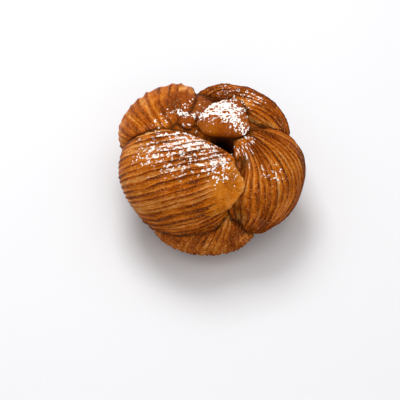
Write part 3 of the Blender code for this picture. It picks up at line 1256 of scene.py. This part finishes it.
@dataclass(frozen=True)
class Frill:
    """A thin torn sheet of dough whose edge stands off the skin that it grows from."""

    name: str
    route: tuple[Angles, ...]  # its line over the crown, with its edge to the right of it
    rooted: float  # how far it reaches back under the skin, in mm
    reach: float  # how far it stands out
    lift: float  # how far its edge curls up
    thickness: float
    ragged: float  # how much its reach varies, as a share
    seed: int
    tone: float = 0.5
    sections: int = 220
    steps: int = 24
    wrinkle_size: float = 2.4
    wrinkle: float = 0.22  # height of its wrinkles
    cast_from: float = 1.4  # share of the crown's radius from which it is laid down

    def surface(self, crown: Crown, trees: list[BVHTree]) -> Surface:
        """The sheet's skin.

        Args:
            crown: the dome that its line is laid over.
            trees: search trees of the skins that it is draped over.

        Returns:
            The closed skin.
        """
        stations = np.linspace(0, 1, len(self.route))
        run = np.linspace(0, 1, self.sections)
        nodes = np.array([direction(a) for a in self.route])
        line = np.stack([np.interp(run, stations, column) for column in nodes.T], axis=-1)
        line = unit(self.eased(line, self.sections // 12 * 2 + 1))
        right = unit(np.cross(unit(np.gradient(line, axis=0)), line))
        noise = ValueNoise(self.seed)
        length = run * self.length(crown, line)
        taper = np.clip(np.minimum(run, 1 - run) * 8, 0, 1) ** 0.5
        ragged = noise.at(length / 4.5) + 0.5 * noise.at(length / 1.4 + 50)
        reach = self.reach * self.ragged * ragged * taper - self.rooted * (1 - taper)
        share = np.linspace(0, 1, self.steps)
        out = -self.rooted * (1 - share) + reach[:, None] * share
        ways = unit(line[:, None] + right[:, None] * (out / crown.half_depth)[..., None])
        level = self.draped(crown, ways, trees)
        lift = self.lift * taper * (1 + 0.8 * noise.at(length / 3.0 + 99))
        up = 0.35 - 1.2 * (1 - share) ** 3 + lift[:, None] * share**4
        wrinkle = noise.over(crown.place(ways, np.ones(level.shape)), self.wrinkle_size, 2)
        up = up + self.wrinkle * wrinkle * np.clip(share * 4, 0, 1)
        half = self.thickness / 2 * (1 - 0.6 * share)
        top = crown.place(ways, level + (up + half) / crown.half_depth)
        bottom = crown.place(ways, level + (up - half) / crown.half_depth)
        points = np.concatenate([top, bottom[:, ::-1]], axis=1)
        points[0], points[-1] = points[0].mean(axis=0), points[-1].mean(axis=0)
        edge = np.concatenate([share, share[::-1]]) + 0 * points[..., 0]
        # Paler towards its edge, a painted highlight where the edge catches the light; its wrinkles
        # move it up and down.
        crest = 0.62 + 0.38 * edge**6 + 0.25 * np.concatenate([wrinkle, wrinkle[:, ::-1]], axis=1)
        tone = self.tone + 0.4 * noise.over(points, 4.0)
        weft = np.stack([length[:, None] * 1.2 + 0 * edge, edge * self.rooted], axis=-1)
        return Surface(points, crest, tone, 0.5 + 0 * edge, weft)

    @staticmethod
    def length(crown: Crown, line: np.ndarray) -> float:
        """Measure its line.

        Args:
            crown: the dome that it is laid over.
            line: unit directions along it.

        Returns:
            Its length in mm.
        """
        places = crown.place(line, np.ones(len(line)))
        return float(np.linalg.norm(np.diff(places, axis=0), axis=1).sum())

    def draped(self, crown: Crown, ways: np.ndarray, trees: list[BVHTree]) -> np.ndarray:
        """Lay the sheet over the skins.

        Args:
            crown: the dome.
            ways: unit directions of its points.
            trees: the skins' search trees.

        Returns:
            Share of the crown's radius at which each point comes to rest.
        """
        middle = Vector((*crown.centre, crown.waist)) * MM
        starts = crown.place(ways, self.cast_from) * MM
        level = np.zeros(ways.shape[:2])
        for index in np.ndindex(*level.shape):
            start = Vector(starts[index])
            for tree in trees:
                place = tree.ray_cast(start, middle - start)[0]
                if place is not None:
                    share = np.linalg.norm(crown.scaled(np.array(place) / MM))
                    level[index] = max(level[index], share)
        bridged = np.max([np.roll(level, shift, axis=1) for shift in (-1, 0, 1)], axis=0)
        bridged[:, 0], bridged[:, -1] = level[:, 0], bridged[:, -2]
        return self.eased(self.eased(bridged, 13).T, 5).T

    @staticmethod
    def eased(values: np.ndarray, window: int) -> np.ndarray:
        """Average out the roughness of the skin under the sheet.

        Args:
            values: columns of values along the line.
            window: how many neighbours are averaged.

        Returns:
            The smoothed columns.
        """
        padded = np.pad(values, ((window // 2, window // 2), (0, 0)), mode="edge")
        kernel = np.ones(window) / window
        return np.stack([np.convolve(column, kernel, "valid") for column in padded.T], axis=-1)

    def build(self, crown: Crown, trees: list[BVHTree]) -> bpy.types.Object:
        """Make the sheet's piece.

        Args:
            crown: the dome.
            trees: search trees of the skins that it is draped over.

        Returns:
            The piece.
        """
        return self.surface(crown, trees).piece(self.name)


FRILLS = (
    Frill(
        "front_flap",
        ((280, 19), (284, 27), (290, 33), (297, 38), (300, 45), (302, 52), (301, 58), (296, 66)),
        14.0, 2.0, 0.9, 0.55, 0.3, 131,
    ),
)


@dataclass(frozen=True)
class SugarPatch:
    """A place where sugar has fallen, seen from above."""

    centre: Pair  # x and y in mm from the crown's middle
    size: Pair  # half-length and half-width in mm
    turn: float  # of its length from +X, in degrees
    amount: float

    def amount_at(self, x: np.ndarray, y: np.ndarray) -> np.ndarray:
        """How much sugar lies at some places.

        Args:
            x: places to the right of the crown's middle, in mm.
            y: places behind it.

        Returns:
            The amounts.
        """
        angle = math.radians(self.turn)
        right, ahead = x - self.centre[0], y - self.centre[1]
        length = (right * math.cos(angle) + ahead * math.sin(angle)) / self.size[0]
        width = (ahead * math.cos(angle) - right * math.sin(angle)) / self.size[1]
        return self.amount * np.exp(-((length**2 + width**2) ** 1.5))


@dataclass
class SugarDusting:
    """Sugar over the knot's top: a film on the crust, clumps and loose grains."""

    crown: Crown
    patches: tuple[SugarPatch, ...] = (
        SugarPatch((6.0, 14.5), (12.0, 9.0), 10.0, 0.9),
        SugarPatch((13.0, 5.0), (10.0, 4.5), -42.0, 0.7),
        SugarPatch((22.0, -5.0), (7.0, 3.0), -55.0, 0.9),
        SugarPatch((-9.0, 10.5), (10.0, 2.6), -18.0, 1.3),
        SugarPatch((15.0, 32.0), (14.0, 8.0), -20.0, 0.7),
        SugarPatch((-20.0, -5.0), (12.0, 4.5), 10.0, 1.1),
        SugarPatch((-10.0, -13.0), (13.0, 6.5), -20.0, 1.3),
        SugarPatch((3.0, -19.0), (10.0, 5.0), -48.0, 1.25),
        SugarPatch((-27.0, -11.0), (14.0, 11.0), 10.0, 0.65),
        SugarPatch((-14.0, -26.0), (15.0, 6.0), -5.0, 0.55),
        SugarPatch((3.0, -28.0), (9.0, 6.0), -20.0, 0.45),
        SugarPatch((18.0, -13.0), (7.0, 5.0), -60.0, 0.65),
        SugarPatch((33.0, -24.0), (8.0, 5.0), 10.0, 0.45),
        SugarPatch((-30.0, 8.0), (7.0, 4.0), 40.0, 0.4),
        SugarPatch((-15.0, 22.0), (5.0, 5.0), 40.0, 0.18),
    )
    streak_size: float = 4.0
    lace_size: float = 1.7  # of the holes in the sugar
    lace: Pair = (0.79, 0.95)  # noise where clumps begin, and where they lie thickest
    least: float = 0.02  # amount under which nothing is strewn
    seed: int = 71

    def settle(self, pieces: list[bpy.types.Object]) -> None:
        """Write how much sugar lies at each point of the pieces.

        Args:
            pieces: the skins that the sugar falls on, each with a crest attribute.
        """
        noise = ValueNoise(self.seed)
        for piece in pieces:
            mesh = piece.data
            points, normals = read_points(mesh)
            points, up = points / MM, normals[:, 2]
            x = points[:, 0] - self.crown.centre[0]
            y = points[:, 1] - self.crown.centre[1]
            amount = sum(patch.amount_at(x, y) for patch in self.patches)
            amount *= smooth_step(0.1, 0.65, up) * self.crown.above(points)
            net = 1 - np.abs(noise.over(points, self.streak_size, 2))
            amount *= 0.45 + 0.75 * net
            amount = np.clip(amount, 0, 1)
            write_values(mesh, "sugar", amount)

    def bed(self, pieces: list[bpy.types.Object], trees: list[BVHTree]) -> bpy.types.Object:
        """One mesh of all faces that sugar can lie on.

        Args:
            pieces: the skins, with their sugar attribute.
            trees: their search trees, in the same order.

        Returns:
            A helper object, with a density attribute.
        """
        corners, faces, density = [], [], []
        noise = ValueNoise(self.seed + 1)
        offset = 0
        for index, piece in enumerate(pieces):
            mesh = piece.data
            points, _ = read_points(mesh)
            count = len(points)
            values = {}
            for key in ("sugar", "crest"):
                values[key] = np.empty(count)
                mesh.attributes[key].data.foreach_get("value", values[key])
            wanted = values["sugar"] * (0.25 + smooth_step(0.45, 0.95, values["crest"]))
            net = 1 - np.abs(noise.over(points / MM, self.lace_size, 2))
            wanted *= 0.04 + 1.9 * smooth_step(*self.lace, net)
            others = [tree for other, tree in enumerate(trees) if other != index]
            for vert in np.flatnonzero(wanted > self.least):
                if buried(points[vert], others):
                    wanted[vert] = 0.0
            mesh.calc_loop_triangles()
            triangles = np.empty(len(mesh.loop_triangles) * 3, int)
            mesh.loop_triangles.foreach_get("vertices", triangles)
            triangles = triangles.reshape(-1, 3)
            kept = triangles[(wanted[triangles] > self.least).all(axis=1)]
            used, renumbered = np.unique(kept, return_inverse=True)
            corners.append(points[used])
            faces.append(renumbered.reshape(-1, 3) + offset)
            density.append(wanted[used])
            offset += len(used)
        mesh = bpy.data.meshes.new("sugar_bed")
        mesh.from_pydata(np.concatenate(corners).tolist(), [], np.concatenate(faces).tolist())
        write_values(mesh, "density", np.concatenate(density))
        return linked(mesh)


def skin_tree(piece: bpy.types.Object) -> BVHTree:
    """Make a search tree of a piece's faces.

    Args:
        piece: the piece.

    Returns:
        The tree.
    """
    mesh = piece.data
    points = [vert.co for vert in mesh.vertices]
    return BVHTree.FromPolygons(points, [tuple(face.vertices) for face in mesh.polygons])


def buried(point: np.ndarray, trees: list[BVHTree]) -> bool:
    """Whether a point lies inside any of some closed skins.

    Args:
        point: the point in metres.
        trees: the skins' search trees.

    Returns:
        True where the first face above the point is seen from inside.
    """
    up = Vector((0.02, 0.01, 1.0)).normalized()  # leans a little, to miss edges and corners
    for tree in trees:
        _, normal, _, _ = tree.ray_cast(Vector(point), up)
        if normal is not None and normal.dot(up) > 0:
            return True
    return False


@dataclass(frozen=True)
class Scatter:
    """Lumps of sugar strewn over a bed by Geometry Nodes."""

    name: str
    density: float  # lumps per square mm where sugar lies thickest
    smallest: float  # in mm
    largest: float
    flatness: float
    sharpness: float  # how strongly the lumps keep to the thickest places
    shapes: int
    seed: int
    jolt: float = 0.24  # how far a lump's corners stray from a ball's, in diameters
    slimmest: float = 0.3  # width of the slimmest lump, in lengths
    widest: float = 0.85
    skew: float = 2.2  # over 1 makes most lumps small
    tilt: float = 0.4  # from lying flat, in radians

    def tree(self) -> bpy.types.NodeTree:
        """Make the Geometry Nodes tree.

        Returns:
            A tree with named inputs for the lumps' sizes and number.
        """
        tree = bpy.data.node_groups.new(self.name, "GeometryNodeTree")
        add_input(tree, "Bed", "Geometry")
        for key in ("Density", "Smallest", "Largest", "Flatness", "Sharpness"):
            add_input(tree, key, "Float", 1.0)
        add_input(tree, "Seed", "Int", 0)
        add_input(tree, "Material", "Material")
        add_output(tree, "Lumps", "Geometry")
        wiring = Wiring(tree)
        given = wiring.add("NodeGroupInput").outputs
        spread = wiring.add(
            "GeometryNodeInputNamedAttribute", {"Name": "density"}, data_type="FLOAT"
        )
        amount = wiring.maths("POWER", spread.outputs["Attribute"], given["Sharpness"])
        amount = wiring.maths("MULTIPLY", amount, given["Density"])
        points = wiring.add(
            "GeometryNodeDistributePointsOnFaces",
            {"Mesh": given["Bed"], "Density": amount, "Seed": given["Seed"]},
        )
        shapes = wiring.add("GeometryNodeGeometryToInstance")
        for shape in range(self.shapes):
            ball = wiring.add("GeometryNodeMeshIcoSphere", {"Radius": 0.5, "Subdivisions": 1})
            jolt = wiring.add("FunctionNodeRandomValue", data_type="FLOAT_VECTOR")
            jolt.inputs["Min"].default_value = (-self.jolt,) * 3
            jolt.inputs["Max"].default_value = (self.jolt,) * 3
            jolt.inputs["Seed"].default_value = self.seed + shape
            moved = wiring.add(
                "GeometryNodeSetPosition",
                {"Geometry": ball.outputs["Mesh"], "Offset": jolt.outputs["Value"]},
            )
            tree.links.new(moved.outputs["Geometry"], shapes.inputs["Geometry"])
        size = wiring.add("FunctionNodeRandomValue", data_type="FLOAT")
        skewed = wiring.maths("POWER", size.outputs[1], self.skew)
        reach = wiring.maths("SUBTRACT", given["Largest"], given["Smallest"])
        length = wiring.maths("MULTIPLY_ADD", skewed, reach, given["Smallest"])
        slim = wiring.add("FunctionNodeRandomValue", data_type="FLOAT")
        slim.inputs[2].default_value = self.slimmest
        slim.inputs[3].default_value = self.widest
        width = wiring.maths("MULTIPLY", length, slim.outputs[1])
        scale = wiring.add(
            "ShaderNodeCombineXYZ",
            {"X": length, "Y": width, "Z": wiring.maths("MULTIPLY", width, given["Flatness"])},
        )
        spin = wiring.add("FunctionNodeRandomValue", data_type="FLOAT_VECTOR")
        spin.inputs["Min"].default_value = (-self.tilt, -self.tilt, 0.0)
        spin.inputs["Max"].default_value = (self.tilt, self.tilt, math.tau)
        turned = wiring.add(
            "FunctionNodeRotateRotation",
            {"Rotation": points.outputs["Rotation"], "Rotate By": spin.outputs["Value"]},
            rotation_space="LOCAL",
        )
        pick = wiring.add("FunctionNodeRandomValue", data_type="INT")
        pick.inputs[4].default_value = 0
        pick.inputs[5].default_value = self.shapes - 1
        lumps = wiring.add(
            "GeometryNodeInstanceOnPoints",
            {
                "Points": points.outputs["Points"], "Instance": shapes.outputs["Instances"],
                "Pick Instance": True, "Instance Index": pick.outputs[2],
                "Rotation": turned.outputs["Rotation"], "Scale": scale.outputs["Vector"],
            },
        )
        real = wiring.add("GeometryNodeRealizeInstances", {"Geometry": lumps.outputs["Instances"]})
        dressed = wiring.add(
            "GeometryNodeSetMaterial",
            {"Geometry": real.outputs["Geometry"], "Material": given["Material"]},
        )
        wiring.add("NodeGroupOutput", {"Lumps": dressed.outputs["Geometry"]})
        return tree

    def build(self, bed: bpy.types.Object, material: bpy.types.Material) -> bpy.types.Object:
        """Strew the lumps.

        Args:
            bed: the faces that they lie on.
            material: their finish.

        Returns:
            A plain mesh piece.
        """
        tree = self.tree()
        modifier = bed.modifiers.new(self.name, "NODES")
        modifier.node_group = tree
        values = {
            "Density": self.density / MM**2, "Smallest": self.smallest * MM,
            "Largest": self.largest * MM, "Flatness": self.flatness,
            "Sharpness": self.sharpness, "Seed": self.seed, "Material": material,
        }
        for item in tree.interface.items_tree:
            if item.in_out == "INPUT" and item.name in values:
                modifier[item.identifier] = values[item.name]
        bed.update_tag()
        bpy.context.view_layer.update()
        graph = bpy.context.evaluated_depsgraph_get()
        mesh = bpy.data.meshes.new_from_object(bed.evaluated_get(graph))
        bed.modifiers.remove(modifier)
        mesh.name = self.name
        return linked(mesh)


SCATTERS = (
    Scatter("sugar_clumps", 12.0, 0.35, 1.1, 0.6, 1.2, 5, 91),
    Scatter("sugar_crumbs", 12.0, 0.25, 1.0, 0.6, 1.2, 5, 93),
    Scatter("sugar_grains", 7.0, 0.12, 0.32, 0.8, 1.0, 3, 97),
)


@dataclass
class Studio:
    """A pale floor, soft light from above and behind, and the camera."""

    crown: Crown
    elevation: float = 54.0
    distance: float = 1.6  # of the camera, in metres
    view_width: float = 0.2328  # what it takes in at the target
    aim: Pair = (-0.0061, -0.0042)  # right of and above the middle, in the view
    lamps: tuple[tuple[str, Triple, float, float], ...] = (  # name, place, side and power
        ("key", (-0.15, 0.42, 0.78), 0.42, 4.8),
        ("top", (0.05, 0.1, 1.0), 0.8, 2.3),
        ("fill", (0.15, -0.8, 0.6), 0.7, 1.6),
    )
    daylight: float = 0.6
    floor_half: float = 1.2  # in metres
    floor_colour: Colour = srgb(218, 218, 220)
    floor_roughness: float = 0.6
    sensor: float = 36.0

    def build(self) -> None:
        """Make the floor, the lights, the world and the camera."""
        self.floor()
        for lamp in self.lamps:
            self.light(*lamp)
        self.world()
        self.camera()

    def floor(self) -> None:
        """Lay the floor under the crust."""
        mesh = bpy.data.meshes.new("floor")
        half = self.floor_half
        corners = [(-half, -half, 0), (half, -half, 0), (half, half, 0), (-half, half, 0)]
        mesh.from_pydata(corners, [], [(0, 1, 2, 3)])
        floor = linked(mesh)
        paint = bpy.data.materials.new("pale_floor")
        paint.use_nodes = True
        shader = paint.node_tree.nodes["Principled BSDF"]
        shader.inputs["Base Color"].default_value = self.floor_colour
        shader.inputs["Roughness"].default_value = self.floor_roughness
        mesh.materials.append(paint)

    def light(self, name: str, place: Triple, size: float, energy: float) -> None:
        """Hang a soft lamp aimed at the crust.

        Args:
            name: the lamp's name.
            place: where it hangs, in metres.
            size: its side in metres.
            energy: its power in watts.
        """
        lamp = bpy.data.lights.new(name, "AREA")
        lamp.energy = energy
        lamp.size = size
        hung = bpy.data.objects.new(name, lamp)
        hung.location = place
        hung.rotation_euler = (-Vector(place)).to_track_quat("-Z", "Y").to_euler()
        bpy.context.scene.collection.objects.link(hung)

    def world(self) -> None:
        """Light the scene evenly from all round."""
        world = bpy.data.worlds.new("room")
        world.use_nodes = True
        background = world.node_tree.nodes["Background"]
        background.inputs["Color"].default_value = (1.0, 1.0, 1.0, 1.0)
        background.inputs["Strength"].default_value = self.daylight
        bpy.context.scene.world = world
        bpy.context.scene.view_settings.view_transform = "Standard"

    def camera(self) -> None:
        """Set up the camera at its height over the front."""
        tilt = math.radians(self.elevation)
        back = Vector((0, -math.cos(tilt), math.sin(tilt)))
        up = Vector((0, math.sin(tilt), math.cos(tilt)))
        middle = Vector((*self.crown.centre, 0.0)) * MM
        target = middle + Vector((self.aim[0], 0, 0)) + up * self.aim[1]
        lens = bpy.data.cameras.new("camera")
        lens.sensor_width = self.sensor
        lens.lens = lens.sensor_width * self.distance / self.view_width
        camera = bpy.data.objects.new("camera", lens)
        camera.location = target + back * self.distance
        camera.rotation_euler = (-back).to_track_quat("-Z", "Y").to_euler()
        bpy.context.scene.collection.objects.link(camera)
        bpy.context.scene.camera = camera


def belongs(piece: bpy.types.Object) -> None:
    """Say that a piece is part of the cruffin.

    Args:
        piece: the piece.
    """
    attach(piece, BODY)
    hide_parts(NODE)
    LOG.info("%s: %d faces", piece.name, len(piece.data.polygons))


def main() -> None:
    """Build the cruffin and its studio."""
    logging.basicConfig(level=logging.INFO, format="%(name)s %(message)s")
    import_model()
    crown = Crown.inside(*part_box(NODE))
    crust = CrustFinish().material(LayersWithPaintedLight.build(), SugarFilm.build())
    sugar = SugarFinish().material()
    skins = [Core(crown).build()]
    skins += [Rope(plan, crown, base=FOOT_STEP * (1 + i)).build() for i, plan in enumerate(ROPES)]
    trees = [skin_tree(piece) for piece in skins]
    Gaps(crown).close(skins, trees)
    frills = [frill.build(crown, trees) for frill in FRILLS]
    # The sheets get no painted shade.
    for piece in frills:
        piece.data.attributes.new("painted_shade", "FLOAT", "POINT")
    skins += frills
    trees += [skin_tree(piece) for piece in frills]
    dusting = SugarDusting(crown)
    dusting.settle(skins)
    bed = dusting.bed(skins, trees)
    for piece in skins:
        piece.data.materials.append(crust)
        belongs(piece)
    for scatter in SCATTERS:
        belongs(scatter.build(bed, sugar))
    bpy.data.objects.remove(bed, do_unlink=True)
    Studio(crown).build()


if __name__ == "__main__":
    main()
